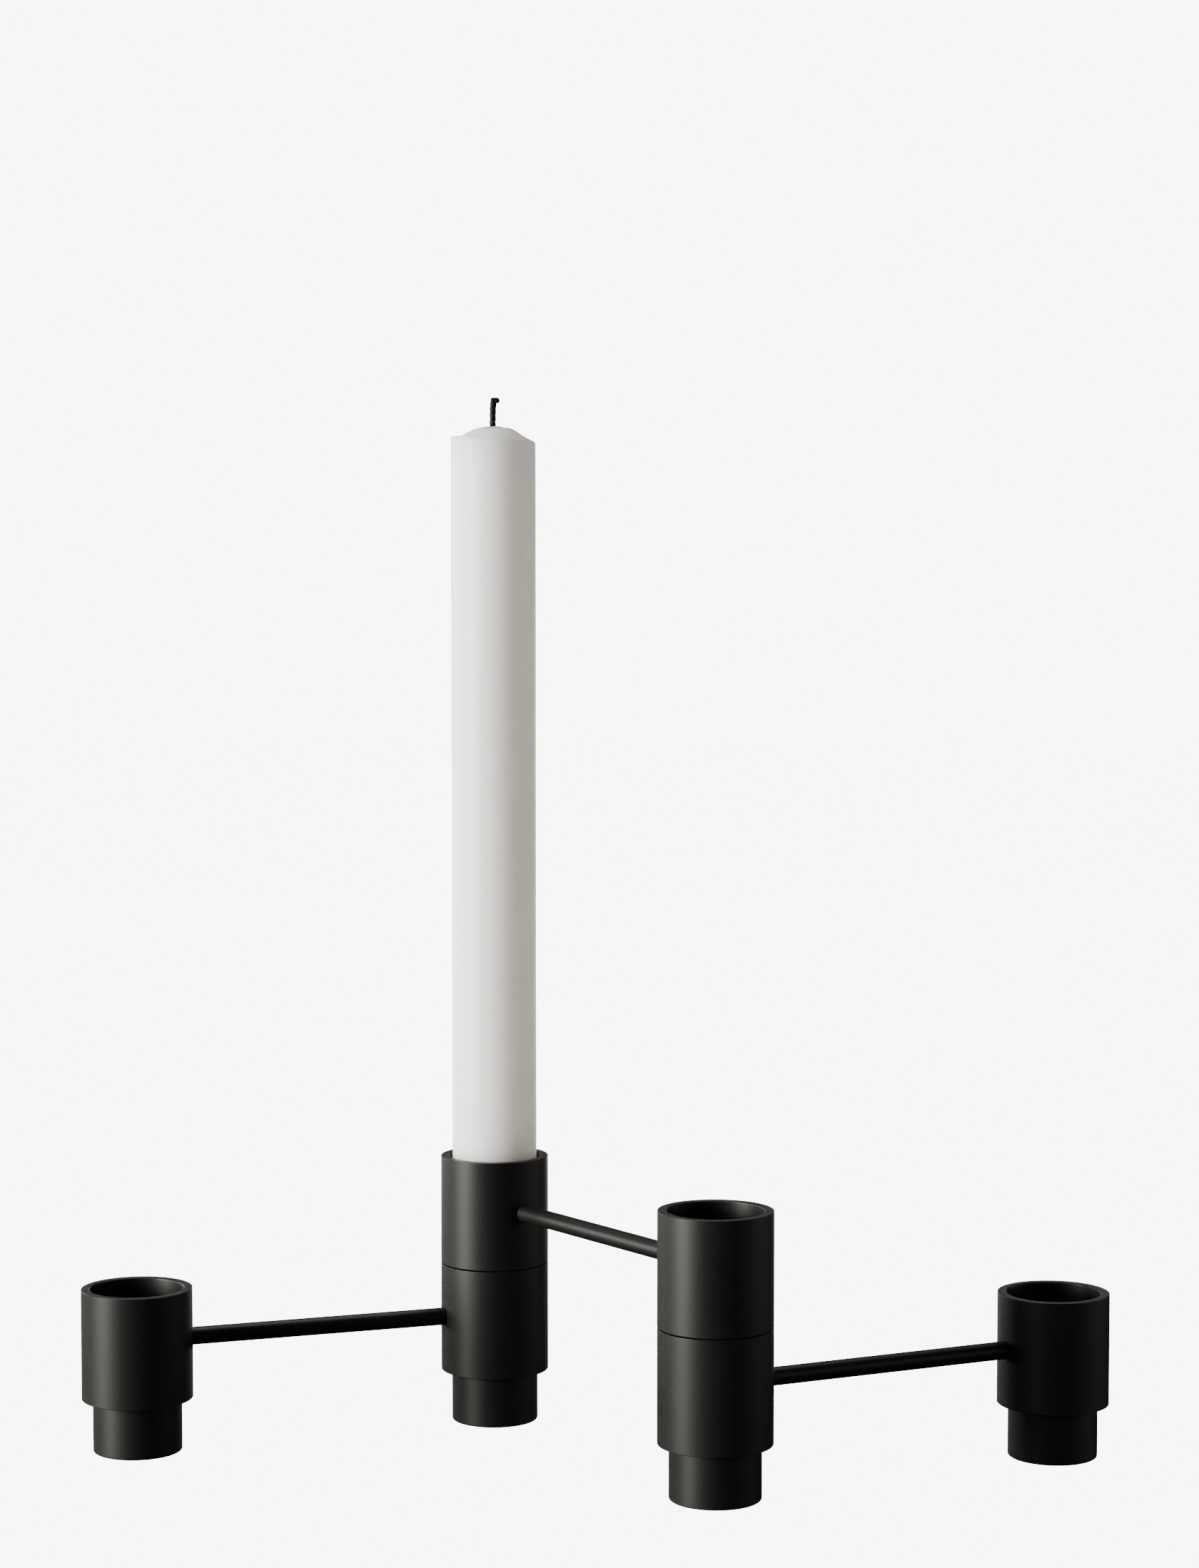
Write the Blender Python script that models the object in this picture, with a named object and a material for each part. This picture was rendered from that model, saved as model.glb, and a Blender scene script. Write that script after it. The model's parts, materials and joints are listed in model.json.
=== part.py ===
"""Tabletop candelabra: three two-cup modules stacked in a zigzag, with one dinner candle.

Every module is the same: two turned cups on plug feet, joined by a round arm.  The lower left and
lower right modules stand on the table.  The bridge module stands one storey higher, with its feet in
the inner cups of the other two, so each pair of modules swivels about a shared upright axis.

Metres, +Z up.  The origin is on the table, below the middle of the object's bounding box.
"""

import math

import bmesh
import bpy
from mathutils import Vector

MM = 0.001
GAP = 0.3 * MM                        # space left between two pieces that touch
CONE_GAP = GAP * math.sqrt(2)         # the same space beside a 45 degree cone, measured along the radius

# Cups and feet
CUP_RADIUS = 14.0 * MM
CUP_HEIGHT = 28.0 * MM
SOCKET_RADIUS = 11.8 * MM
SOCKET_DEPTH = 20.0 * MM
EDGE_BREAK = 0.3 * MM                 # small chamfer on every turned edge
FOOT_RADIUS = 11.2 * MM
FOOT_HEIGHT = 13.4 * MM               # from the foot's lower edge to the cup's underside
FOOT_CHAMFER = 0.5 * MM
PAD_RADIUS = 9.0 * MM
PAD_THICKNESS = 1.4 * MM
PAD_PROUD = 0.4 * MM                  # how far a felt pad stands below its foot

# Arms
ARM_SPAN = 95.0 * MM                  # between the axes of a module's two cups
ARM_RADIUS = 2.25 * MM
ARM_RISE = 0.6 * MM                   # arm's axis above the middle of the cup
ARM_SEAT = CUP_RADIUS - 0.5 * MM      # flat in the cup's side that the arm's end meets
ARM_DIRECTIONS = (19.9, -54.5, 24.9)  # degrees from +X, for the lower left, bridge and lower right arms

# Countersunk screws: shank radius, head radius, length, hexagon's corner radius, hexagon's depth
FOOT_SCREW = (2.0 * MM, 3.8 * MM, 14.0 * MM, 1.44 * MM, 1.2 * MM)
ARM_SCREW = (1.25 * MM, 2.2 * MM, 8.0 * MM, 0.87 * MM, 0.7 * MM)
HEAD_LAND = 0.15 * MM                 # straight edge round a countersunk head
HEAD_SINK = 0.2 * MM                  # how far a head lies below the surface around it
TAP_SPARE = 1.0 * MM                  # depth of a tapped hole past the screw's tip

# Candle
CANDLE_RADIUS = 11.0 * MM
CANDLE_SHOULDER = 206.8 * MM          # from the candle's base to the ledge round its melted top
SHOULDER_ROUND = 0.5 * MM
CROWN_FOOT = 9.2 * MM                 # radius where the melted top begins to rise from the ledge
CROWN_CREST = 3.0 * MM                # radius inside which it is flat again
CROWN_HEIGHT = 2.5 * MM
CROWN_RINGS = 4
WICK_RADIUS = 0.8 * MM
WICK_HEIGHT = 7.4 * MM                # free height above the wax
WICK_DEPTH = 3.0 * MM                 # how far the wick reaches into the wax
WICK_LEAN = 0.3 * MM                  # how far the wick leans before it bends over
WICK_BEND = 0.8 * MM                  # radius of the charred tip's bend

ROUND_SIDES = 48                      # cups, feet and candle
PAD_SIDES = 24
ARM_SIDES = 16
SCREW_SIDES = 12                      # twice a hexagon's, for the sockets in the heads
SMOOTH_ANGLE = math.radians(35)
QUARTER_TURN = math.pi / 2

# Heights above a module's own resting plane
CUP_BASE = PAD_PROUD + FOOT_HEIGHT
CUP_RIM = CUP_BASE + CUP_HEIGHT
ARM_HEIGHT = CUP_BASE + CUP_HEIGHT / 2 + ARM_RISE
SOCKET_FLOOR = CUP_RIM - SOCKET_DEPTH
STOREY = CUP_RIM + GAP - CUP_BASE     # a bridge module's underside rests on the rims below


def clear_scene():
    """Empties the scene."""
    for thing in list(bpy.data.objects):
        bpy.data.objects.remove(thing)


def material(name, colour, roughness, metallic=0.0):
    """A plain Principled material."""
    made = bpy.data.materials.new(name)
    made.use_nodes = True
    made.diffuse_color = (*colour, 1.0)
    shader = made.node_tree.nodes["Principled BSDF"]
    shader.inputs["Base Color"].default_value = (*colour, 1.0)
    shader.inputs["Roughness"].default_value = roughness
    shader.inputs["Metallic"].default_value = metallic
    return made


def turned(name, outline, sides):
    """A mesh turned about its Z axis from a list of (radius, height) points.

    An outline that starts and ends on the axis is left open there, and any other is closed."""
    shape = bmesh.new()
    points = [shape.verts.new((radius, 0.0, height)) for radius, height in outline]
    pairs = list(zip(points, points[1:]))
    if outline[0][0] > 0 or outline[-1][0] > 0:
        pairs.append((points[-1], points[0]))
    edges = [shape.edges.new(pair) for pair in pairs]
    bmesh.ops.spin(
        shape, geom=points + edges, cent=(0, 0, 0), axis=(0, 0, 1), angle=math.tau, steps=sides
    )
    bmesh.ops.remove_doubles(shape, verts=shape.verts, dist=0.001 * MM)
    bmesh.ops.recalc_face_normals(shape, faces=shape.faces)
    return finished_mesh(name, shape)


def finished_mesh(name, shape):
    """Turns a bmesh into a mesh with smooth sides and crisp edges."""
    mesh = bpy.data.meshes.new(name)
    shape.to_mesh(mesh)
    shape.free()
    mesh.shade_smooth()
    mesh.set_sharp_from_angle(angle=SMOOTH_ANGLE)
    return mesh


def place(name, data, parent, location=(0, 0, 0), rotation=(0, 0, 0), look=None):
    """Adds one object, by its place under its parent."""
    made = bpy.data.objects.new(name, data)
    bpy.context.scene.collection.objects.link(made)
    made.parent = parent
    made.location = location
    made.rotation_euler = rotation
    if look:
        made.data.materials.clear()
        made.data.materials.append(look)
    return made


def countersink(screw, surface, end, side=1):
    """Outline of the hole for a countersunk screw, from the surface it is sunk into to its end.

    The screw points along -Z for side 1, and along +Z for side -1."""
    shank, head, *_ = screw
    wide, narrow = head + CONE_GAP, shank + GAP
    land = surface - side * (HEAD_SINK + HEAD_LAND)
    return [(wide, surface), (wide, land), (narrow, land - side * (wide - narrow)), (narrow, end)]


def cup_mesh():
    """A cup with a candle socket above, and a countersunk hole through the socket's floor."""
    floor = CUP_HEIGHT - SOCKET_DEPTH
    outline = [
        (CUP_RADIUS - EDGE_BREAK, 0.0),
        (CUP_RADIUS, EDGE_BREAK),
        (CUP_RADIUS, CUP_HEIGHT - EDGE_BREAK),
        (CUP_RADIUS - EDGE_BREAK, CUP_HEIGHT),
        (SOCKET_RADIUS + EDGE_BREAK, CUP_HEIGHT),
        (SOCKET_RADIUS, CUP_HEIGHT - EDGE_BREAK),
        (SOCKET_RADIUS, floor),
    ]
    return turned("cup", outline + countersink(FOOT_SCREW, floor, 0.0), ROUND_SIDES)


def arm_seat_mesh():
    """The cutter for an arm's seat in a cup: socket wall, countersunk hole, flat seat outside."""
    wall, seat = SOCKET_RADIUS, ARM_RADIUS + GAP
    inside, outside = wall - 2 * MM, CUP_RADIUS + 1 * MM
    hole = countersink(ARM_SCREW, wall, ARM_SEAT, side=-1)
    outline = [(0, inside), (hole[0][0], inside), *hole[1:], (seat, ARM_SEAT), (seat, outside)]
    return turned("arm_seat", outline + [(0, outside)], ARM_SIDES)


def foot_mesh():
    """A plug foot, tapped from above for its screw and recessed below for its felt pad."""
    top = FOOT_HEIGHT - GAP
    shank, _, length, *_ = FOOT_SCREW
    screw_tip = FOOT_HEIGHT + CUP_HEIGHT - SOCKET_DEPTH - HEAD_SINK - length
    tap, tap_end = shank + GAP, screw_tip - TAP_SPARE
    recess = PAD_THICKNESS - PAD_PROUD + GAP
    outline = [
        (0, recess),
        (PAD_RADIUS + GAP, recess),
        (PAD_RADIUS + GAP, 0),
        (FOOT_RADIUS - FOOT_CHAMFER, 0),
        (FOOT_RADIUS, FOOT_CHAMFER),
        (FOOT_RADIUS, top),
        (tap, top),
        (tap, tap_end),
        (0, tap_end),
    ]
    return turned("foot", outline, ROUND_SIDES)


def pad_mesh():
    """A felt disc."""
    outline = [(0, 0), (PAD_RADIUS, 0), (PAD_RADIUS, PAD_THICKNESS), (0, PAD_THICKNESS)]
    return turned("felt_pad", outline, PAD_SIDES)


def screw_mesh(name, screw):
    """A countersunk hexagon socket screw that points down from the top of its head."""
    shank, head, length, corner, depth = screw
    cone_end = -HEAD_LAND - (head - shank)
    outline = [
        (0, -depth),
        (corner, -depth),
        (corner, 0),
        (head, 0),
        (head, -HEAD_LAND),
        (shank, cone_end),
        (shank, -length + EDGE_BREAK),
        (shank - EDGE_BREAK, -length),
        (0, -length),
    ]
    mesh = turned(name, outline, SCREW_SIDES)
    hexagon_socket(mesh, corner)
    return mesh


def hexagon_socket(mesh, corner):
    """Pulls every second point of a twelve-sided recess in to the flats of a hexagon."""
    for point in mesh.vertices:
        reach = math.hypot(point.co.x, point.co.y)
        step = round(math.atan2(point.co.y, point.co.x) / math.radians(30))
        if math.isclose(reach, corner, rel_tol=0.001) and step % 2:
            point.co.x *= math.cos(math.radians(30))
            point.co.y *= math.cos(math.radians(30))


def arm_mesh():
    """The arm between two cups, tapped at both ends."""
    half = ARM_SPAN / 2 - ARM_SEAT - GAP
    shank, _, length, *_ = ARM_SCREW
    screw_tip = SOCKET_RADIUS + HEAD_SINK + length
    tap_end = ARM_SPAN / 2 - screw_tip - TAP_SPARE
    tap = shank + GAP
    upper = [
        (0, tap_end),
        (tap, tap_end),
        (tap, half),
        (ARM_RADIUS - EDGE_BREAK, half),
        (ARM_RADIUS, half - EDGE_BREAK),
    ]
    lower = [(radius, -height) for radius, height in reversed(upper)]
    return turned("arm", upper + lower, ARM_SIDES)


def candle_mesh():
    """The candle: a straight side, a rounded melted top, and a hole for the wick."""
    wick_hole = WICK_RADIUS + GAP
    outline = [
        (0, 0),
        (CANDLE_RADIUS - EDGE_BREAK, 0),
        (CANDLE_RADIUS, EDGE_BREAK),
        (CANDLE_RADIUS, CANDLE_SHOULDER - SHOULDER_ROUND),
        (CANDLE_RADIUS - SHOULDER_ROUND, CANDLE_SHOULDER),
    ]
    for ring in range(CROWN_RINGS + 1):
        radius = CROWN_FOOT + (CROWN_CREST - CROWN_FOOT) * ring / CROWN_RINGS
        outline.append((radius, CANDLE_SHOULDER + crown_rise(radius)))
    crest = CANDLE_SHOULDER + CROWN_HEIGHT
    hole_end = crest - WICK_DEPTH - GAP
    outline += [(wick_hole, crest), (wick_hole, hole_end), (0, hole_end)]
    return turned("candle_wax", outline, ROUND_SIDES)


def crown_rise(radius):
    """Height of the melted top above its ledge: a smooth step between the crown's foot and crest."""
    share = (CROWN_FOOT - radius) / (CROWN_FOOT - CROWN_CREST)
    return CROWN_HEIGHT * share * share * (3 - 2 * share)


def wick_curve():
    """The wick: a thin round cord that leans a little and bends over at its charred tip."""
    curve = bpy.data.curves.new("candle_wick", "CURVE")
    curve.dimensions = "3D"
    curve.bevel_depth = WICK_RADIUS
    curve.bevel_resolution = 2
    curve.use_fill_caps = True
    rise = WICK_HEIGHT - WICK_RADIUS
    route = [Vector((0, 0, -WICK_DEPTH)), Vector((0, 0, 0.2 * rise))]
    for degrees in (0, 30, 60, 90, 120):
        angle = math.radians(degrees)
        across = WICK_LEAN + WICK_BEND * (1 - math.cos(angle))
        route.append(Vector((across, 0, rise - WICK_BEND * (1 - math.sin(angle)))))
    spline = curve.splines.new("POLY")
    spline.points.add(len(route) - 1)
    for point, place_on_route in zip(spline.points, route):
        point.co = (*place_on_route, 1.0)
    return curve


def add_module(name, origin, direction, shapes, looks):
    """One module: its empty is on the axis of its left cup, and its arm lies along the empty's +X."""
    module = place(f"{name}_module", None, None, origin, (0, 0, math.radians(direction)))
    for end, (x, turn) in enumerate(((0.0, 0.0), (ARM_SPAN, math.pi)), start=1):
        add_cup(name, end, module, x, turn, shapes, looks)
    arm_place = (ARM_SPAN / 2, 0, ARM_HEIGHT)
    place(f"{name}_arm", shapes["arm"], module, arm_place, (0, QUARTER_TURN, 0), looks["coat"])
    return module


def add_cup(name, end, module, x, turn, shapes, looks):
    """One cup with its foot, felt pad and screws, turned so that its arm seat faces the arm."""
    inward = math.cos(turn)
    cup = place(f"{name}_cup_{end}", shapes["cup"], module, (x, 0, CUP_BASE), (0, 0, turn), looks["coat"])
    seat_height = ARM_HEIGHT - CUP_BASE
    seat_name = f"{name}_arm_seat_{end}"
    cutter = place(seat_name, shapes["arm_seat"], cup, (0, 0, seat_height), (0, QUARTER_TURN, 0))
    cutter.hide_render = True
    cutter.display_type = "WIRE"
    cut = cup.modifiers.new("arm_seat", "BOOLEAN")
    cut.operation = "DIFFERENCE"
    cut.solver = "EXACT"
    cut.object = cutter
    place(f"{name}_foot_{end}", shapes["foot"], module, (x, 0, PAD_PROUD), look=looks["coat"])
    place(f"{name}_felt_pad_{end}", shapes["felt_pad"], module, (x, 0, 0), look=looks["felt"])
    head = (x, 0, SOCKET_FLOOR - HEAD_SINK)
    place(f"{name}_foot_screw_{end}", shapes["foot_screw"], module, head, look=looks["steel"])
    head = (x + inward * (SOCKET_RADIUS + HEAD_SINK), 0, ARM_HEIGHT)
    tilt = (0, -QUARTER_TURN * inward, 0)
    place(f"{name}_arm_screw_{end}", shapes["arm_screw"], module, head, tilt, looks["steel"])


def add_candle(bridge, looks):
    """The candle in the bridge module's left cup, with its wick bent over towards +X.

    Its empty is at the middle of the socket's floor."""
    turn = (0, 0, -bridge.rotation_euler.z)
    candle = place("candle", None, bridge, (0, 0, SOCKET_FLOOR + GAP), turn)
    place("candle_wax", candle_mesh(), candle, look=looks["wax"])
    top = (0, 0, CANDLE_SHOULDER + CROWN_HEIGHT)
    place("candle_wick", wick_curve(), candle, top, look=looks["wick"])


def arm_vector(direction):
    """From a module's left cup to its right cup."""
    angle = math.radians(direction)
    return Vector((math.cos(angle), math.sin(angle), 0)) * ARM_SPAN


def cup_axes():
    """The four upright axes that the cups stand on, with the middle of their box at the origin."""
    axes = [Vector((0, 0, 0))]
    for direction in ARM_DIRECTIONS:
        axes.append(axes[-1] + arm_vector(direction))
    middle = Vector([(min(values) + max(values)) / 2 for values in zip(*axes)])
    return [axis - middle for axis in axes]


def main():
    clear_scene()
    looks = {
        "coat": material("black_coat", (0.020, 0.019, 0.018), 0.45),
        "steel": material("screw_steel", (0.10, 0.10, 0.10), 0.35, metallic=1.0),
        "felt": material("felt", (0.03, 0.03, 0.03), 0.95),
        "wax": material("wax", (0.83, 0.81, 0.77), 0.5),
        "wick": material("charred_wick", (0.03, 0.028, 0.025), 0.9),
    }
    shapes = {
        "cup": cup_mesh(),
        "arm_seat": arm_seat_mesh(),
        "foot": foot_mesh(),
        "felt_pad": pad_mesh(),
        "foot_screw": screw_mesh("foot_screw", FOOT_SCREW),
        "arm_screw": screw_mesh("arm_screw", ARM_SCREW),
        "arm": arm_mesh(),
    }
    left, inner_left, inner_right, _ = cup_axes()
    storey = Vector((0, 0, STOREY))
    places = (("lower_left", left), ("bridge", inner_left + storey), ("lower_right", inner_right))
    modules = {}
    for (name, origin), direction in zip(places, ARM_DIRECTIONS):
        modules[name] = add_module(name, origin, direction, shapes, looks)
    add_candle(modules["bridge"], looks)


main()
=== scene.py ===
"""Looks of the tabletop candelabra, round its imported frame.

Every cup, foot, arm, screw and felt pad, the candle and its wick are made again as fine meshes at the
places that the frame gives them.  Lengths are in metres, and MM turns millimetres into metres.
"""

import json
import math

import bmesh
import bpy
from mathutils import Matrix, Vector, noise


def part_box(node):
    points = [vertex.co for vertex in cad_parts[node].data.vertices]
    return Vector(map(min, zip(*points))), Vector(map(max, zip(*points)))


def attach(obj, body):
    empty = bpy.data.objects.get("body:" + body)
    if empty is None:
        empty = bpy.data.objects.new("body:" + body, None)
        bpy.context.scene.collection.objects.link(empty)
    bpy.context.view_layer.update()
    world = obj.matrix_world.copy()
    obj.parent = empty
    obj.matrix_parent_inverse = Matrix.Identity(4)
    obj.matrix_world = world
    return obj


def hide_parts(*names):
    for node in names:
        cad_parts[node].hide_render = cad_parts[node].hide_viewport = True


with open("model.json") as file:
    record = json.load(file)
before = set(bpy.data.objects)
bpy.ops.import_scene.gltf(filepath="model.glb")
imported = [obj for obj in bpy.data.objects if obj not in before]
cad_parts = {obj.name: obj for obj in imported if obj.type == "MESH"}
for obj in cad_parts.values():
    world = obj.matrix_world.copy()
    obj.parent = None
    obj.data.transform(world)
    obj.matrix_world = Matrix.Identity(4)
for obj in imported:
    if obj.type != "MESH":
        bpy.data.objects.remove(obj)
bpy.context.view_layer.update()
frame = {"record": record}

MM = 0.001

# Camera, floor and backdrop.  A glow is linear light, which the view shows as a very pale grey.
CAMERA_PLACE = (1.45 * MM, -820.7 * MM, 218.4 * MM)
CAMERA_DIP = math.radians(3.411)
LENS_MM = 76.07
SENSOR_MM = 36.0
BACKDROP_GLOW = 4.43
FLOOR_GLOW = 4.42
FLOOR_GREY = 0.01
FLOOR_SIZE = 8.0
FLOOR_DROP = 0.05 * MM                # the floor lies just below the felt pads

# Softboxes, which all face one point.  Azimuth 0 is the camera's side, and positive is to the right.
LAMP_AIM = Vector((0, 0, 60 * MM))
LAMPS = (
    # name, azimuth and elevation in degrees, distance, (width, height), watts
    ("key", -67.5, 6.5, 1.6, (0.50, 0.36), 35.8),
    ("mid_key", -60, 14, 1.6, (0.30, 0.30), 8.7),
    ("upper_key", -58, 24, 1.6, (0.30, 0.30), 6.2),
    ("left_back", -125, 6, 1.5, (0.8, 0.4), 9.2),
    ("back", 180, -2, 1.5, (1.8, 0.4), 8.8),
    ("right_side", 100, 8, 1.5, (0.9, 0.5), 3.9),
    ("right_front", 65, 8, 1.5, (1.0, 0.8), 1.9),
    ("top", 180, 68, 1.5, (1.0, 0.8), 8.8),
)
BOUNCE_SIZE = 1.2
BOUNCE_WATTS = 1.75

# Turned meshes.  An easing is the radius of the rounding on an edge.
TURNED_SIDES = 144
EASE_STEPS = 4                        # faces across an easing
ON_AXIS = 1e-7                        # a radius below this counts as the axis
SMOOTH_ANGLE = math.radians(32)       # a sharper edge than this keeps its crease

# Cups and feet
RIM_EASE = 0.14 * MM
MOUTH_EASE = 0.28 * MM                # on the inner edge of a cup's rim
FOOT_EASE = 0.45 * MM
SOCKET_RADIUS = 11.8 * MM
SOCKET_DEPTH = 20.0 * MM
SOCKET_FILLET = 0.6 * MM
PAD_FIT = 0.1 * MM                    # gap round and above a felt pad in its recess
TAP_DEPTH = 7 * MM                    # of the tapped holes in the feet and the arms
WEAR_AND_SHEEN_SPAN = 0.586                     # 2 - sqrt(2): how much nearer to its corner an easing's middle is than
                                      # its ends are, as a share of the easing

# Arms and their seats in the cups
ARM_SIDES = 64
ARM_SEAT_DEPTH = 0.5 * MM
HAIRLINE = 0.02 * MM                  # gap round an arm in its seat
CUTTER_INWARD, CUTTER_OUTWARD = 2 * MM, 1 * MM    # how far a seat's cutter reaches past the cup's wall

# Countersunk screws: radii of the shank, the head and the hexagon's corners, and the hexagon's depth
FOOT_SCREW = {"shank": 2.0 * MM, "head": 3.8 * MM, "corner": 1.44 * MM, "depth": 1.2 * MM}
ARM_SCREW = {"shank": 1.25 * MM, "head": 2.2 * MM, "corner": 0.87 * MM, "depth": 0.7 * MM}
ARM_SCREW_LENGTH = 8 * MM
SCREW_SIDES = 48
SCREW_LAND = 0.15 * MM                # straight edge of a head, above its cone
SCREW_EASE = 0.08 * MM
SCREW_TIP_EASE = 0.3 * MM
SCREW_FIT = 0.05 * MM                 # gap round a screw
SCREW_SINK = 0.2 * MM                 # how deep a head lies below the surface
HEXAGON_RIM = 0.1 * MM                # flat ring round the hexagon
FOOT_TURN, SCREW_TURN = 1.3, 0.4      # radians by which the second of a pair is turned on from the first

# Felt pads
PAD_SIDES = 96
PAD_EASE = 0.25 * MM
PAD_RINGS = (0, 0.2, 0.4, 0.6, 0.8, 0.93)         # shares of the radius
FELT_LUMP = 1.2 * MM
FACE_DEPTH = 0.1 * MM                 # points lower than this are the pad's lower face
FACE_RUFFLE, BACK_RUFFLE = 0.05 * MM, 0.04 * MM

# Candle: a straight side, a ledge, a bell of wax, and a low collar that has crept up round the wick
CANDLE_SIDES = 128
SIDE_ROWS, CROWN_ROWS = 80, 30
CANDLE_FOOT_EASE = 0.5 * MM
CANDLE_LEDGE_EASE = 0.35 * MM
CROWN_RISE = 2.15 * MM
CROWN_FOOT, CROWN_CREST = 9.6 * MM, 3.6 * MM      # radii where the bell starts and where it is full
COLLAR_RISE = 0.35 * MM
COLLAR_FOOT, COLLAR_CREST = 3.2 * MM, 1.6 * MM
DISH_DEPTH, DISH_RADIUS = 0.4 * MM, 1.5 * MM      # hollow round the wick, of full depth in its inner half

# Unevenness of the candle: how deep its waves are, the noises that they follow, and how it has melted
SIDE_WAVE, TOP_WAVE = 0.04 * MM, 0.07 * MM
LEDGE_WAVE, RIPPLE = 0.16 * MM, 0.06 * MM
SIDE_LUMPS = {"spread": 1.1, "length": 45 * MM, "seed": (0, 0, 0)}
TOP_LUMPS = {"spread": 2.3, "length": 4 * MM, "seed": (3.1, 0, 0)}
LEDGE_LUMPS = {"spread": 1.6, "length": math.inf, "seed": (0, 7.7, 0)}
RIPPLE_LENGTH = 2.2 * MM
WAVE_MIDDLE = 0.6                     # noise above this raises the wax, and below it lowers it
MELTED_LENGTH = 9 * MM                # how far down the top's unevenness reaches
SLUMP = 1.1 * MM                      # droop of the crown towards its right edge
SLUMP_START = 0.5                     # share of the radius where that droop starts
SLUMP_POWER = 1.5
EDGE_ROUND = 0.9 * MM                 # the ledge's edge has melted round, except on its left
EDGE_BAND = 1 / 6                     # share of the radius that this rounding takes up

# Wick: it stands a little left of the candle's axis and leans to the right
WICK_ROOT = 1 * MM                    # how deep it starts below the hollow in the wax
WICK_STEM = 8.0 * MM
WICK_START, WICK_END = -0.22 * MM, 0.12 * MM      # right of the axis
LEAN_POWER = 1.5
WICK_SWAY, SWAY_ANGLE = 0.04 * MM, 6
STRANDS = 3
WICK_TWISTS = 1.6
TWIST_RADIUS, STRAND_RADIUS = 0.22 * MM, 0.62 * MM
STRAND_ROWS, STRAND_SIDES = 90, 16
STRAND_WAVE, STRAND_LUMP = 0.12, 0.6 * MM
CHAR_LUMPS = (
    # distance right of the axis, depth of the centre below the top, radius
    (0.02 * MM, 0.75 * MM, 0.78 * MM),
    (0.45 * MM, 0.72 * MM, 0.72 * MM),
    (0.92 * MM, 0.82 * MM, 0.80 * MM),
)
CHAR_WAVE, CHAR_LUMP = 0.25, 0.8 * MM
WICK_VOXEL = 0.07 * MM
CRUMBLE, CRUMB, TIP_CRUMB = 0.04 * MM, 0.35 * MM, 0.5 * MM


# ---------------------------------------------------------------- frame helpers

BODY_OF = {node: body for body, nodes in frame["record"]["behaviour"]["bodies"].items() for node in nodes}
MODULES = ("lower_left", "bridge", "lower_right")
MODULE_ENDS = [(module, end) for module in MODULES for end in (1, 2)]


def node_centre(node):
    low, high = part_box(node)
    return (low + high) / 2


def axis_foot(node):
    """The lowest point on a turned node's upright axis."""
    low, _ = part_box(node)
    centre = node_centre(node)
    return Vector((centre.x, centre.y, low.z))


def reach(node):
    """Radius of an upright turned node: half its box's narrower side, so that a rounder one fits inside."""
    low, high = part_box(node)
    return min(high.x - low.x, high.y - low.y) / 2


def height(node):
    low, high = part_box(node)
    return high.z - low.z


def heading(node, target):
    """Angle about +Z from one node's centre towards another's."""
    way = node_centre(target) - node_centre(node)
    return math.atan2(way.y, way.x)


# ---------------------------------------------------------------- mesh helpers

def eased(corners):
    """Rounds the corners of an outline.  Each corner is (radius, height, easing)."""
    outline = []
    for index, (radius, level, easing) in enumerate(corners):
        here = Vector((radius, level))
        if easing == 0:
            outline.append(here)
            continue
        before = (Vector(corners[index - 1][:2]) - here).normalized()
        after = (Vector(corners[(index + 1) % len(corners)][:2]) - here).normalized()
        half = before.angle(after) / 2
        centre = here + (before + after).normalized() * easing / math.sin(half)
        start = here + before * easing / math.tan(half) - centre
        end = here + after * easing / math.tan(half) - centre
        sweep = math.pi - 2 * half
        for step in range(EASE_STEPS + 1):
            share = step / EASE_STEPS
            spoke = start * math.sin((1 - share) * sweep) + end * math.sin(share * sweep)
            outline.append(centre + spoke / math.sin(sweep))
    return outline


def turned(name, outline, sides=TURNED_SIDES):
    """A closed mesh turned about Z from (radius, height) points.

    The outline is a ring clear of the axis, or it runs from one point on the axis to another.
    """
    shape = bmesh.new()
    rings = []
    for radius, level in outline:
        if radius < ON_AXIS:
            rings.append([shape.verts.new((0, 0, level))] * sides)
            continue
        angles = (math.tau * side / sides for side in range(sides))
        rings.append([shape.verts.new((radius * math.cos(a), radius * math.sin(a), level)) for a in angles])
    from_axis_to_axis = outline[0][0] == 0 and outline[-1][0] == 0
    following = rings[1:] if from_axis_to_axis else rings[1:] + rings[:1]
    for lower, upper in zip(rings, following):
        for side in range(sides):
            after = (side + 1) % sides
            face = list(dict.fromkeys((lower[side], lower[after], upper[after], upper[side])))
            if len(face) > 2:
                shape.faces.new(face)
    bmesh.ops.recalc_face_normals(shape, faces=shape.faces)
    return to_mesh(name, shape)


def to_mesh(name, shape):
    mesh = bpy.data.meshes.new(name)
    shape.to_mesh(mesh)
    shape.free()
    return mesh


def add_object(name, data, material=None):
    made = bpy.data.objects.new(name, data)
    bpy.context.scene.collection.objects.link(made)
    if material:
        made.data.materials.append(material)
    return made


def baked(made):
    """The object's mesh with its modifiers applied.  The object itself goes."""
    bpy.context.view_layer.update()
    graph = bpy.context.evaluated_depsgraph_get()
    mesh = bpy.data.meshes.new_from_object(made.evaluated_get(graph), depsgraph=graph)
    mesh.name = made.name
    bpy.data.objects.remove(made)
    return mesh


def smoothed(mesh):
    """Smooth shading with crisp edges, in which the large faces stay flat."""
    mesh.shade_smooth()
    mesh.set_sharp_from_angle(angle=SMOOTH_ANGLE)
    made = add_object(mesh.name, mesh)
    weighted = made.modifiers.new("flat_faces", "WEIGHTED_NORMAL")
    weighted.keep_sharp = True
    return baked(made)


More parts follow.
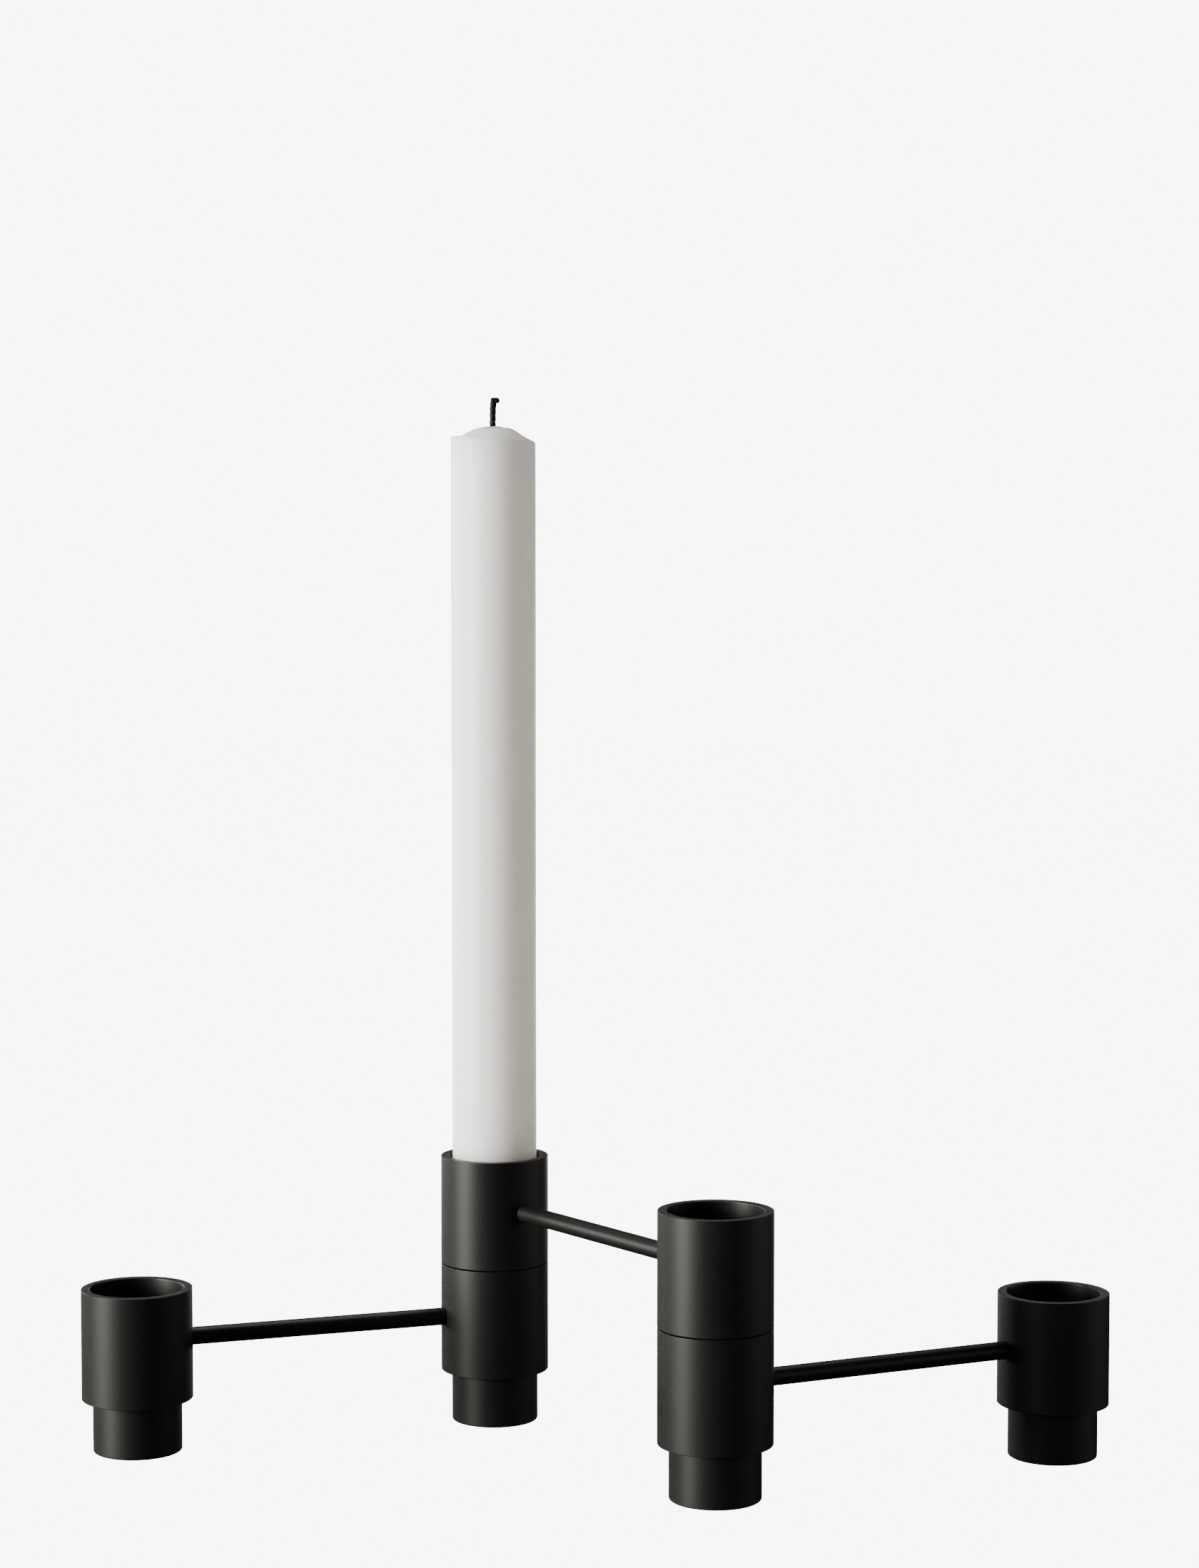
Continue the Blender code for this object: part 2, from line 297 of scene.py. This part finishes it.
def cut(mesh, cutter):
    """Cuts one shape out of another."""
    made = add_object(mesh.name, mesh)
    tool = add_object("cutter", cutter)
    subtract = made.modifiers.new("cut", "BOOLEAN")
    subtract.operation = "DIFFERENCE"
    subtract.solver = "EXACT"
    subtract.object = tool
    result = baked(made)
    bpy.data.objects.remove(tool)
    return result


def mark_wear_and_sheen(mesh, corners):
    """Writes a point attribute, the mask of edge wear and painted highlight: 1 in the middle of each of these
    corners' easings, and 0 off them.
    """
    wear_and_sheen = mesh.attributes.new("wear_and_sheen", "FLOAT", "POINT")
    for point, value in zip(mesh.vertices, wear_and_sheen.data):
        here = Vector((math.hypot(point.co.x, point.co.y), point.co.z))
        for radius, level, easing in corners:
            away = (here - Vector((radius, level))).length
            if away < easing:
                value.value = max(value.value, (easing - away) / (WEAR_AND_SHEEN_SPAN * easing))


def piece(node, mesh, place, material):
    """A fine piece in place of one CAD node: it rides with that node's body, replaces that node, and takes
    the material that it is given.
    """
    copy = mesh.copy()
    copy.transform(place)
    made = add_object(f"{node}_fine", copy, material)
    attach(made, BODY_OF[node])
    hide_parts(node)
    return made


def stood(foot, turn=0.0):
    """Placement of a turned piece: its foot on that point, turned about +Z."""
    return Matrix.Translation(foot) @ Matrix.Rotation(turn, 4, "Z")


# ---------------------------------------------------------------- materials

def shader_tree(name):
    """A new material, its node tree and its Principled shader."""
    material = bpy.data.materials.new(name)
    material.use_nodes = True
    tree = material.node_tree
    return material, tree, tree.nodes["Principled BSDF"]


def feed(tree, node, inputs):
    """Sets a node's inputs to values, or links them to other nodes' sockets."""
    for name, value in inputs.items():
        if isinstance(value, bpy.types.NodeSocket):
            tree.links.new(value, node.inputs[name])
        else:
            node.inputs[name].default_value = value


def add_node(tree, kind, inputs=None, **settings):
    """A node with its settings and its inputs."""
    made = tree.nodes.new(kind)
    for name, value in settings.items():
        setattr(made, name, value)
    feed(tree, made, inputs or {})
    return made


def speckle(tree, size, detail=3.0, roughness=0.6):
    """Noise whose grains are about that size."""
    place = add_node(tree, "ShaderNodeTexCoord").outputs["Object"]
    inputs = {"Vector": place, "Scale": 1 / size, "Detail": detail, "Roughness": roughness}
    return add_node(tree, "ShaderNodeTexNoise", inputs).outputs["Fac"]


def mapped(tree, value, low, high, start=0.3, end=0.7):
    """A value's span from start to end, mapped onto the span from low to high."""
    inputs = {"Value": value, "From Min": start, "From Max": end, "To Min": low, "To Max": high}
    return add_node(tree, "ShaderNodeMapRange", inputs).outputs["Result"]


def computed(tree, operation, *values):
    """A value worked out from others."""
    return add_node(tree, "ShaderNodeMath", dict(enumerate(values)), operation=operation).outputs[0]


def mixed_colour(tree, share, first, second):
    """Two colours mixed by a value.  Inputs 0, 6 and 7 and output 2 are the node's sockets for colours."""
    inputs = {0: share, 6: first, 7: second}
    return add_node(tree, "ShaderNodeMix", inputs, data_type="RGBA").outputs[2]


def bumped(tree, rise, distance, strength):
    """Normals of a surface that is raised by a value."""
    inputs = {"Height": rise, "Distance": distance, "Strength": strength}
    return add_node(tree, "ShaderNodeBump", inputs).outputs["Normal"]


def black_coat():
    """Matte black powder coat: fine orange-peel grain, faint clouding, and a lighter grey on the eased edges
    that is partly wear and partly a painted highlight.
    """
    material, tree, shader = shader_tree("black_coat")
    clouds = speckle(tree, 9 * MM, detail=2.0)
    grain = speckle(tree, 0.42 * MM, detail=4.0, roughness=0.65)
    wear_and_sheen = add_node(tree, "ShaderNodeAttribute", attribute_name="wear_and_sheen").outputs["Fac"]
    patchiness = mapped(tree, speckle(tree, 1.6 * MM), low=0.25, high=1.0, start=0.35, end=0.65)
    # Mask of the lighter edges, broken up by noise: partly edge wear and partly a painted highlight
    edge_wear_and_sheen = computed(tree, "MULTIPLY", wear_and_sheen, patchiness)
    cloudy = mixed_colour(tree, clouds, (0.0085, 0.0080, 0.0072, 1), (0.0125, 0.0117, 0.0106, 1))
    matte = mapped(tree, grain, low=0.42, high=0.52)
    feed(tree, shader, {
        "Base Color": mixed_colour(tree, edge_wear_and_sheen, cloudy, (0.030, 0.0285, 0.026, 1)),
        "Roughness": computed(tree, "MULTIPLY_ADD", edge_wear_and_sheen, -0.10, matte),
        "Normal": bumped(tree, grain, distance=0.02 * MM, strength=0.42),
        "Specular IOR Level": 0.5,
        "Specular Tint": (1.0, 0.975, 0.925, 1),
    })
    return material


def candle_wax():
    """Off-white wax: light soaks into it, and its surface is faintly cloudy and uneven."""
    material, tree, shader = shader_tree("wax")
    clouds = speckle(tree, 14 * MM)
    feed(tree, shader, {
        "Base Color": mixed_colour(tree, clouds, (0.845, 0.825, 0.79, 1), (0.815, 0.79, 0.75, 1)),
        "Subsurface Weight": 1.0,
        "Subsurface Radius": (1.0, 0.93, 0.87),
        "Subsurface Scale": 20 * MM,
        "Roughness": mapped(tree, speckle(tree, 2.5 * MM), low=0.42, high=0.56),
        "Specular IOR Level": 0.35,
        "Normal": bumped(tree, speckle(tree, 3.0 * MM), distance=0.1 * MM, strength=0.25),
    })
    return material


def charred_cotton():
    """A burnt wick: sooty, dry and rough, a little greyer where the ash is."""
    material, tree, shader = shader_tree("wick")
    ash = mapped(tree, speckle(tree, 0.5 * MM, detail=4.0), low=0.0, high=1.0, start=0.5, end=0.75)
    feed(tree, shader, {
        "Base Color": mixed_colour(tree, ash, (0.003, 0.0029, 0.0027, 1), (0.013, 0.0125, 0.012, 1)),
        "Roughness": 0.6,
        "Specular IOR Level": 0.35,
        "Normal": bumped(tree, speckle(tree, 0.2 * MM, detail=4.0), distance=0.1 * MM, strength=0.6),
    })
    return material


def pressed_felt():
    """Charcoal felt: matted fibres with a faint sheen."""
    material, tree, shader = shader_tree("felt")
    fibres = speckle(tree, 0.25 * MM, detail=6.0, roughness=0.7)
    feed(tree, shader, {
        "Base Color": mixed_colour(tree, fibres, (0.012, 0.012, 0.012, 1), (0.055, 0.054, 0.052, 1)),
        "Roughness": 0.95,
        "Sheen Weight": 0.1,
        "Normal": bumped(tree, fibres, distance=0.15 * MM, strength=0.8),
    })
    return material


def blackened_steel():
    """Black-oxide screw steel, a little cloudy."""
    material, tree, shader = shader_tree("screw_steel")
    grain = speckle(tree, 0.4 * MM, detail=4.0)
    feed(tree, shader, {
        "Base Color": mixed_colour(tree, grain, (0.055, 0.053, 0.052, 1), (0.12, 0.115, 0.11, 1)),
        "Metallic": 1.0,
        "Roughness": mapped(tree, grain, low=0.28, high=0.42),
    })
    return material


COAT = black_coat()
WAX = candle_wax()
WICK = charred_cotton()
FELT = pressed_felt()
STEEL = blackened_steel()


# ---------------------------------------------------------------- metal pieces

def countersunk(screw, surface, end):
    """Corners of the hole for a countersunk screw that points down from a surface."""
    wide, narrow = screw["head"] + SCREW_FIT, screw["shank"] + SCREW_FIT
    cone_top = surface - SCREW_SINK - SCREW_LAND
    cone_end = cone_top - (wide - narrow)
    return [(wide, surface, SCREW_EASE), (wide, cone_top, 0), (narrow, cone_end, 0), (narrow, end, 0)]


def cup_edges(node):
    """The eased edges of a cup's wall: the outer one below, then both edges of the rim."""
    radius, top = reach(node), height(node)
    return [(radius, 0, RIM_EASE), (radius, top, RIM_EASE), (SOCKET_RADIUS, top, MOUTH_EASE)]


def arm_seat(cup, arm):
    """The cutter for an arm's seat: a countersunk screw hole from the socket and a flat seat outside."""
    radius = height(arm) / 2 + HAIRLINE
    seat = reach(cup) - ARM_SEAT_DEPTH
    inside, outside = SOCKET_RADIUS - CUTTER_INWARD, reach(cup) + CUTTER_OUTWARD
    hole = [(r, -z) for r, z, _ in countersunk(ARM_SCREW, -SOCKET_RADIUS, -seat)]    # it points outwards
    outline = [(0, inside), (hole[0][0], inside), *hole[1:], (radius, seat), (radius, outside), (0, outside)]
    rise = node_centre(arm).z - axis_foot(cup).z
    mesh = turned("arm_seat", outline, ARM_SIDES)
    half_facet = Matrix.Rotation(math.pi / ARM_SIDES, 4, "Z")    # keeps its corners off the cup's own edges
    mesh.transform(Matrix.Translation((0, 0, rise)) @ Matrix.Rotation(math.pi / 2, 4, "Y") @ half_facet)
    return mesh


def make_cups():
    """All the cups.  One mesh serves every cup, turned so that its seat faces its arm."""
    sample = "lower_left_cup_1"
    edges = cup_edges(sample)
    floor = height(sample) - SOCKET_DEPTH
    corners = [*edges, (SOCKET_RADIUS, floor, SOCKET_FILLET), *countersunk(FOOT_SCREW, floor, 0)]
    mesh = smoothed(cut(turned("cup", eased(corners)), arm_seat(sample, "lower_left_arm")))
    mark_wear_and_sheen(mesh, edges)
    for module, end in MODULE_ENDS:
        node = f"{module}_cup_{end}"
        piece(node, mesh, stood(axis_foot(node), heading(node, f"{module}_arm")), COAT)


def make_feet():
    """The plug feet, each with a recess for its felt pad and a tapped hole on top."""
    sample, pad = "lower_left_foot_1", "lower_left_felt_pad_1"
    radius, top = reach(sample), height(sample)
    recess_radius = reach(pad) + PAD_FIT
    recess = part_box(pad)[1].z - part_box(sample)[0].z + PAD_FIT
    tap, tap_end = FOOT_SCREW["shank"] + SCREW_FIT, top - TAP_DEPTH
    edges = [(radius, 0, FOOT_EASE), (radius, top, RIM_EASE)]
    corners = [
        (0, recess, 0),
        (recess_radius, recess, 0),
        (recess_radius, 0, SCREW_EASE),
        *edges,
        (tap, top, 0),
        (tap, tap_end, 0),
        (0, tap_end, 0),
    ]
    mesh = smoothed(turned("foot", eased(corners)))
    mark_wear_and_sheen(mesh, edges)
    for module, end in MODULE_ENDS:
        node = f"{module}_foot_{end}"
        piece(node, mesh, stood(axis_foot(node), end * FOOT_TURN), COAT)


def make_pads():
    """The felt pads: soft-edged discs with an uneven face."""
    sample = "lower_left_felt_pad_1"
    radius, top = reach(sample), height(sample)
    rings = [(radius * share, 0) for share in PAD_RINGS]
    outline = rings + eased([(radius, 0, PAD_EASE), (radius, top, PAD_EASE), (0, top, 0)])
    mesh = turned("felt_pad", outline, PAD_SIDES)
    for module, end in MODULE_ENDS:
        node = f"{module}_felt_pad_{end}"
        made = piece(node, mesh, stood(axis_foot(node)), FELT)
        ruffle(made.data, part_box(node)[0].z)


def ruffle(mesh, floor):
    """Raises a pad's lower face here and there and lowers the rest of it, by noise."""
    for point in mesh.vertices:
        swell = noise.noise(point.co / FELT_LUMP)
        if point.co.z < floor + FACE_DEPTH:
            point.co.z = floor + FACE_RUFFLE * (1 + swell) / 2
        else:
            point.co.z -= BACK_RUFFLE * (1 + swell)
    mesh.shade_smooth()


def make_arms():
    """The arms: round rod, eased at its ends and tapped for its screws."""
    for module in MODULES:
        node = f"{module}_arm"
        ends = [axis_foot(f"{module}_cup_{end}") for end in (1, 2)]
        span = (ends[1] - ends[0]).length
        half = span / 2 - reach(f"{module}_cup_1") + ARM_SEAT_DEPTH
        radius = height(node) / 2
        tap, tap_end = ARM_SCREW["shank"] + SCREW_FIT, half - TAP_DEPTH
        upper = [(0, tap_end, 0), (tap, tap_end, 0), (tap, half, 0), (radius, half, SCREW_EASE)]
        lower = [(r, -z, easing) for r, z, easing in reversed(upper)]
        mesh = smoothed(turned("arm", eased(upper + lower), ARM_SIDES))
        mesh.transform(Matrix.Rotation(math.pi / 2, 4, "Y"))
        mark_wear_and_sheen(mesh, ())
        piece(node, mesh, stood(node_centre(node), heading(f"{module}_cup_1", node)), COAT)


def hexagon_socket(mesh, corner):
    """Pulls a round recess in to a hexagon with its corners at that radius."""
    sector = math.pi / 3
    for point in mesh.vertices:
        away = math.hypot(point.co.x, point.co.y)
        if math.isclose(away, corner, rel_tol=0.001):
            angle = math.atan2(point.co.y, point.co.x) % sector - sector / 2
            flat = math.cos(sector / 2) / math.cos(angle)
            point.co.x *= flat
            point.co.y *= flat


def screw_mesh(name, screw, length):
    """A countersunk hexagon socket screw that points down from the top of its head."""
    shank, head, corner, depth = (screw[key] for key in ("shank", "head", "corner", "depth"))
    cone_end = -SCREW_LAND - (head - shank)
    corners = [
        (0, -depth, 0),
        (corner, -depth, 0),
        (corner, 0, 0),
        (corner + HEXAGON_RIM, 0, 0),
        (head, 0, SCREW_EASE),
        (head, -SCREW_LAND, 0),
        (shank, cone_end, 0),
        (shank, -length, SCREW_TIP_EASE),
        (0, -length, 0),
    ]
    mesh = turned(name, eased(corners), SCREW_SIDES)
    hexagon_socket(mesh, corner)
    return smoothed(mesh)


def make_screws():
    """The screws that hold the feet and the arms to the cups."""
    foot_screw = screw_mesh("foot_screw", FOOT_SCREW, height("lower_left_foot_screw_1"))
    arm_screw = screw_mesh("arm_screw", ARM_SCREW, ARM_SCREW_LENGTH)
    for module, end in MODULE_ENDS:
        node = f"{module}_foot_screw_{end}"
        top = Vector((*node_centre(node).xy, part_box(node)[1].z))
        piece(node, foot_screw, stood(top, end * SCREW_TURN), STEEL)
        node, cup = f"{module}_arm_screw_{end}", f"{module}_cup_{end}"
        turn = Matrix.Rotation(heading(cup, f"{module}_arm"), 4, "Z")
        outward = turn @ Vector((1, 0, 0))
        head = Vector((*axis_foot(cup).xy, node_centre(node).z)) + outward * (SOCKET_RADIUS + SCREW_SINK)
        tilt = turn @ Matrix.Rotation(-math.pi / 2, 4, "Y")
        piece(node, arm_screw, Matrix.Translation(head) @ tilt, STEEL)


# ---------------------------------------------------------------- candle

def smooth_step(value):
    value = min(1.0, max(0.0, value))
    return value * value * (3 - 2 * value)


def make_candle():
    """The candle: a straight cast side, a ledge, and the blunt crown that melted wax leaves."""
    radius, crest = reach("candle_wax"), height("candle_wax")
    ledge = crest - CROWN_RISE - COLLAR_RISE
    corners = [(0, 0, 0), (radius, 0, CANDLE_FOOT_EASE), (radius, ledge, CANDLE_LEDGE_EASE), (0, ledge, 0)]
    foot_and_ledge = eased(corners)[:-1]
    foot_points = 1 + EASE_STEPS + 1
    low, high = foot_and_ledge[foot_points - 1].y, foot_and_ledge[foot_points].y
    below_top = ((1 - row / SIDE_ROWS) ** 2 for row in range(1, SIDE_ROWS))    # closer rows near the top
    side = [Vector((radius, high - (high - low) * share)) for share in below_top]
    outline = foot_and_ledge[:foot_points] + side + foot_and_ledge[foot_points:]
    inner = outline[-1].x
    for row in range(1, CROWN_ROWS + 1):
        away = inner * (1 - row / CROWN_ROWS)
        outline.append(Vector((away, ledge + crown_rise(away))))
    mesh = turned("candle_wax", outline, CANDLE_SIDES)
    melt(mesh, radius, ledge)
    mesh.shade_smooth()
    piece("candle_wax", mesh, stood(axis_foot("candle_wax")), WAX)


def crown_rise(away):
    """Height of the crown above the ledge: a bell, then a low collar of wax round the wick."""
    bell = smooth_step((CROWN_FOOT - away) / (CROWN_FOOT - CROWN_CREST))
    collar = smooth_step((COLLAR_FOOT - away) / (COLLAR_FOOT - COLLAR_CREST))
    return CROWN_RISE * bell + COLLAR_RISE * collar


def lumps(around, level, spread, length, seed):
    """Noise round the candle: a wider spread gives more lumps in a turn, and length is a lump's height."""
    return noise.noise(around * spread + Vector(seed) + Vector((0, 0, level / length)))


def melt(mesh, radius, ledge):
    """Makes the candle uneven: a wavy side, a lumpy, drooping ledge, and a shallow dish round the wick."""
    for point in mesh.vertices:
        level, away = point.co.z, math.hypot(point.co.x, point.co.y)
        out = away / radius
        around = Vector((point.co.x, point.co.y, 0)).normalized()
        edge = smooth_step(out)
        near_top = smooth_step((level - ledge + MELTED_LENGTH) / MELTED_LENGTH)
        inward = SIDE_WAVE * (1 + lumps(around, level, **SIDE_LUMPS))
        inward += TOP_WAVE * near_top * (1 + lumps(around, level, **TOP_LUMPS))
        inward = inward * edge + rounding(out, (level - ledge) / EDGE_ROUND, around.x)
        outer = max(0, out - SLUMP_START) / (1 - SLUMP_START)
        sink = edge * LEDGE_WAVE * (WAVE_MIDDLE - lumps(around, level, **LEDGE_LUMPS))
        sink += RIPPLE * (WAVE_MIDDLE - noise.noise(point.co / RIPPLE_LENGTH))
        sink += SLUMP * outer ** SLUMP_POWER * (1 + around.x) / 2
        sink += DISH_DEPTH * smooth_step((DISH_RADIUS - away) / DISH_RADIUS * 2)
        point.co -= Vector((around.x * inward, around.y * inward, near_top * sink))


def rounding(out, rise, right):
    """How far in the ledge's edge has melted.

    Out is the share of the radius.  Rise is 0 at the ledge's level and -1 where the rounding starts.  Right
    is 1 on the candle's right and -1 on its left.
    """
    arc = 1 - math.sqrt(1 - min(1, max(0, rise + 1)) ** 2)
    return EDGE_ROUND * arc * smooth_step(1 - (1 - out) / EDGE_BAND) * smooth_step(1 + right)


# ---------------------------------------------------------------- wick

def wick_path(share):
    """Centre line of the wick, from its root."""
    lean = WICK_START + (WICK_END - WICK_START) * share ** LEAN_POWER
    sway = WICK_SWAY * math.sin(share * SWAY_ANGLE)
    return Vector((lean + sway, sway / 2, share * WICK_STEM))


def add_strand(shape, phase, root):
    """One of the wick's twisted strands."""
    rings = []
    for row in range(STRAND_ROWS + 1):
        share = row / STRAND_ROWS
        angle = math.tau * (phase + WICK_TWISTS * share)
        centre = root + wick_path(share) + Vector((math.cos(angle), math.sin(angle), 0)) * TWIST_RADIUS
        thick = STRAND_RADIUS * (1 + STRAND_WAVE * noise.noise(centre / STRAND_LUMP))
        turns = (math.tau * side / STRAND_SIDES for side in range(STRAND_SIDES))
        rings.append([shape.verts.new(centre + Vector((math.cos(t), math.sin(t), 0)) * thick) for t in turns])
    for lower, upper in zip(rings, rings[1:]):
        for side in range(STRAND_SIDES):
            after = (side + 1) % STRAND_SIDES
            shape.faces.new((lower[side], lower[after], upper[after], upper[side]))
    shape.faces.new(rings[0])
    shape.faces.new(rings[-1])


def add_char(shape, centre, radius):
    """A lump of char on the end of the wick."""
    for point in bmesh.ops.create_icosphere(shape, subdivisions=3, radius=radius)["verts"]:
        point.co = centre + point.co * (1 + CHAR_WAVE * noise.noise((point.co + centre) / CHAR_LUMP))


def make_wick():
    """The wick: twisted cotton strands, charred, with a knob where the burnt end has curled over."""
    top, wax_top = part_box("candle_wick")[1].z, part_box("candle_wax")[1].z
    root = Vector((*node_centre("candle_wax").xy, wax_top - DISH_DEPTH - WICK_ROOT))
    shape = bmesh.new()
    for strand in range(STRANDS):
        add_strand(shape, strand / STRANDS, root)
    for right, drop, radius in CHAR_LUMPS:
        add_char(shape, Vector((root.x + right, root.y, top - drop)), radius)
    bmesh.ops.recalc_face_normals(shape, faces=shape.faces)
    made = add_object("candle_wick", to_mesh("candle_wick", shape))
    fuse = made.modifiers.new("fuse", "REMESH")
    fuse.mode = "VOXEL"
    fuse.voxel_size = WICK_VOXEL
    settle = made.modifiers.new("settle", "SMOOTH")
    settle.iterations = 3
    fused = baked(made)
    for point in fused.vertices:
        point.co += point.normal * (CRUMBLE * noise.noise(point.co / CRUMB))
        point.co.z = min(point.co.z, top - CRUMBLE * (1 + noise.noise(point.co / TIP_CRUMB)))
    fused.shade_smooth()
    piece("candle_wick", fused, Matrix(), WICK)


# ---------------------------------------------------------------- studio

def add_floor():
    """A plain pale floor.  It shines by itself and hardly takes any light, so that it stays an even grey."""
    material, tree, shader = shader_tree("floor")
    feed(tree, shader, {
        "Base Color": (FLOOR_GREY, FLOOR_GREY, FLOOR_GREY, 1),
        "Roughness": 1.0,
        "Specular IOR Level": 0.0,
        "Emission Color": (1, 1, 1, 1),
        "Emission Strength": FLOOR_GLOW,
    })
    shape = bmesh.new()
    bmesh.ops.create_grid(shape, x_segments=1, y_segments=1, size=FLOOR_SIZE / 2)
    floor = add_object("floor", to_mesh("floor", shape), material)
    floor.location.z = -FLOOR_DROP
    floor.visible_shadow = False
    floor.visible_diffuse = False
    floor.visible_glossy = False
    floor.visible_transmission = False
    floor.visible_volume_scatter = False


def add_backdrop():
    """A pale surround that only the camera sees, so that the lamps alone light the object."""
    world = bpy.data.worlds.new("surround")
    world.use_nodes = True
    glow = (BACKDROP_GLOW, BACKDROP_GLOW, BACKDROP_GLOW, 1)
    world.node_tree.nodes["Background"].inputs["Color"].default_value = glow
    bpy.context.scene.world = world
    for ray in ("diffuse", "glossy", "transmission", "scatter"):
        setattr(world.cycles_visibility, ray, False)


def add_lamp(name, azimuth, elevation, distance, size, watts):
    """A softbox that faces the lamps' aim.  The camera doesn't see it."""
    lamp = bpy.data.lights.new(name, "AREA")
    lamp.shape = "RECTANGLE"
    lamp.size, lamp.size_y = size
    lamp.energy = watts
    made = add_object(name, lamp)
    turn, lift = math.radians(azimuth), math.radians(elevation)
    way = Vector((math.sin(turn) * math.cos(lift), -math.cos(turn) * math.cos(lift), math.sin(lift)))
    made.location = LAMP_AIM + way * distance
    made.rotation_euler = way.to_track_quat("Z", "Y").to_euler()
    made.visible_camera = False
    return made


def add_bounce():
    """The light that a pale table throws back up: it is soft, and it makes no reflection."""
    just_above_floor = LAMP_AIM.z + FLOOR_DROP / 2
    bounce = add_lamp("bounce", 0, -90, just_above_floor, (BOUNCE_SIZE, BOUNCE_SIZE), BOUNCE_WATTS)
    bounce.visible_glossy = False


def add_camera():
    """The camera stands in front, a little below the height of the candle's top, and looks slightly down."""
    data = bpy.data.cameras.new("camera")
    data.lens = LENS_MM
    data.sensor_width = SENSOR_MM
    camera = add_object("camera", data)
    camera.location = CAMERA_PLACE
    camera.rotation_euler = (math.pi / 2 - CAMERA_DIP, 0, 0)
    bpy.context.scene.camera = camera


make_cups()
make_feet()
make_pads()
make_arms()
make_screws()
make_candle()
make_wick()
add_floor()
add_backdrop()
for lamp in LAMPS:
    add_lamp(*lamp)
add_bounce()
add_camera()
bpy.context.scene.view_settings.view_transform = "AgX"
bpy.context.scene.view_settings.look = "AgX - Medium High Contrast"
